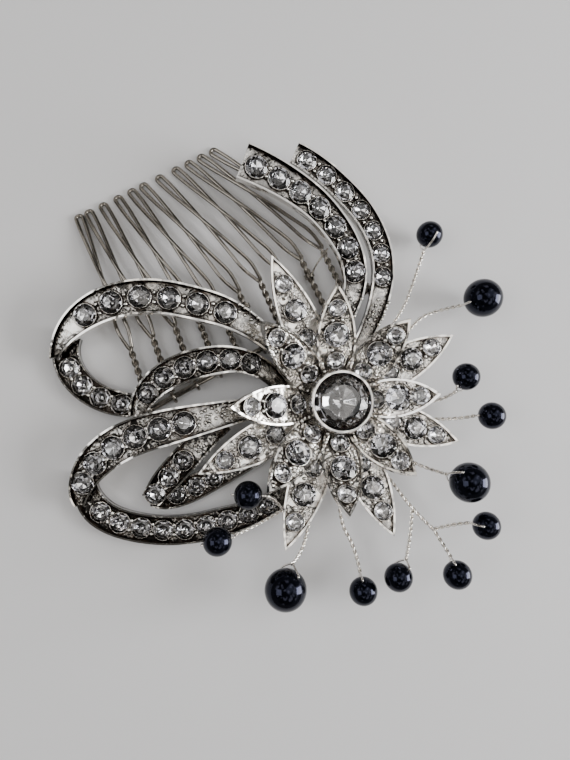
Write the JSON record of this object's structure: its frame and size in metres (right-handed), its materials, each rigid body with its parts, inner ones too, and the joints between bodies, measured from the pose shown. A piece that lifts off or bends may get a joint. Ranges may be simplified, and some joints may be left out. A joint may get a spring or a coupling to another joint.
{
  "type": "decorative hair comb",
  "caption": "Decorative wire hair comb with a layered crystal flower, a stone-set ribbon bow with two tails, and glossy beads on twisted wire stems.",
  "frame": {"origin": "centre of the round boss on the flower's back, on the table it lies on", "axes": "+Z out of the ornament's face along the flower's axis, +Y along the comb's teeth towards their tips, +X along the comb's spine"},
  "size_m": [0.0836, 0.0891, 0.0137],
  "materials": {
    "silver_plate": "bright rhodium-like plating over a cast base",
    "comb_wire": "bright plated steel wire",
    "silver_wire": "bright plated soft wire",
    "clear_crystal": "faceted clear crystal with a foiled back",
    "black_bead": "glossy black with a faint navy tint"
  },
  "bodies": {
    "comb": {"back_boss": "silver_plate", "bezel": "silver_plate", "binding_wire_left": "silver_wire", "binding_wire_right": "silver_wire", "bow_hub": "silver_plate", "centre_stone": "clear_crystal", "comb_spine": "comb_wire", "comb_tooth_01": "comb_wire", "comb_tooth_02": "comb_wire", "comb_tooth_03": "comb_wire", "comb_tooth_04": "comb_wire", "comb_tooth_05": "comb_wire", "comb_tooth_06": "comb_wire", "comb_tooth_07": "comb_wire", "comb_tooth_08": "comb_wire", "comb_tooth_09": "comb_wire", "comb_tooth_10": "comb_wire", "comb_tooth_11": "comb_wire", "flower_rivet": "silver_plate", "inner_loop": "silver_plate", "inner_loop_stones": "clear_crystal", "left_tail": "silver_plate", "lower_loop_back": "silver_plate", "lower_loop_front": "silver_plate", "lower_loop_stones": "clear_crystal", "lower_petals": "silver_plate", "lower_petals_stones": "clear_crystal", "right_tail": "silver_plate", "small_loop_back": "silver_plate", "small_loop_front": "silver_plate", "small_loop_stones": "clear_crystal", "spray_06_07_08": "silver_wire", "spray_11_12": "silver_wire", "stem_01": "silver_wire", "stem_02": "silver_wire", "stem_03": "silver_wire", "stem_04": "silver_wire", "stem_05": "silver_wire", "stem_09": "silver_wire", "stem_10": "silver_wire", "tail_stones": "clear_crystal", "upper_loop_back": "silver_plate", "upper_loop_front": "silver_plate", "upper_loop_stones": "clear_crystal", "upper_petals": "silver_plate", "upper_petals_stones": "clear_crystal"},
    "bead_01_body": {"bead_01": "black_bead"},
    "bead_02_body": {"bead_02": "black_bead"},
    "bead_03_body": {"bead_03": "black_bead"},
    "bead_04_body": {"bead_04": "black_bead"},
    "bead_05_body": {"bead_05": "black_bead"},
    "bead_06_body": {"bead_06": "black_bead"},
    "bead_07_body": {"bead_07": "black_bead"},
    "bead_08_body": {"bead_08": "black_bead"},
    "bead_09_body": {"bead_09": "black_bead"},
    "bead_10_body": {"bead_10": "black_bead"},
    "bead_11_body": {"bead_11": "black_bead"},
    "bead_12_body": {"bead_12": "black_bead"}
  },
  "joints": [
    {"name": "bead_01_spin", "type": "hinge", "parent": "comb", "child": "bead_01_body", "pos_m": [0.0306, 0.0182, 0.004], "axis": [0.0325, -0.2054, 0.9781], "continuous": true},
    {"name": "bead_02_spin", "type": "hinge", "parent": "comb", "child": "bead_02_body", "pos_m": [0.0328, 0.0033, 0.0055], "axis": [-0.8695, 0.1533, 0.4695], "continuous": true},
    {"name": "bead_03_spin", "type": "hinge", "parent": "comb", "child": "bead_03_body", "pos_m": [0.0221, -0.0072, 0.007], "axis": [-0.9366, -0.1651, 0.309], "continuous": true},
    {"name": "bead_04_spin", "type": "hinge", "parent": "comb", "child": "bead_04_body", "pos_m": [0.0229, -0.0155, 0.0065], "axis": [-0.8471, 0.4891, 0.2079], "continuous": true},
    {"name": "bead_05_spin", "type": "hinge", "parent": "comb", "child": "bead_05_body", "pos_m": [0.0129, -0.023, 0.008], "axis": [-0.2542, 0.6983, 0.6691], "continuous": true},
    {"name": "bead_06_spin", "type": "hinge", "parent": "comb", "child": "bead_06_body", "pos_m": [0.0119, -0.031, 0.0075], "axis": [-0.4284, 0.3594, 0.829], "continuous": true},
    {"name": "bead_07_spin", "type": "hinge", "parent": "comb", "child": "bead_07_body", "pos_m": [0.003, -0.035, 0.0085], "axis": [0.0714, 0.816, 0.5736], "continuous": true},
    {"name": "bead_08_spin", "type": "hinge", "parent": "comb", "child": "bead_08_body", "pos_m": [-0.0058, -0.0305, 0.0075], "axis": [0.7501, 0.3031, 0.5878], "continuous": true},
    {"name": "bead_09_spin", "type": "hinge", "parent": "comb", "child": "bead_09_body", "pos_m": [-0.012, -0.0299, 0.006], "axis": [0.2335, 0.7637, 0.6018], "continuous": true},
    {"name": "bead_10_spin", "type": "hinge", "parent": "comb", "child": "bead_10_body", "pos_m": [-0.0231, -0.0221, 0.0085], "axis": [0.7238, 0.3375, 0.6018], "continuous": true},
    {"name": "bead_11_spin", "type": "hinge", "parent": "comb", "child": "bead_11_body", "pos_m": [-0.0289, -0.0098, 0.008], "axis": [0.9366, -0.2162, 0.2756], "continuous": true},
    {"name": "bead_12_spin", "type": "hinge", "parent": "comb", "child": "bead_12_body", "pos_m": [-0.021, -0.006, 0.0065], "axis": [0.8236, -0.4755, 0.309], "continuous": true}
  ]
}
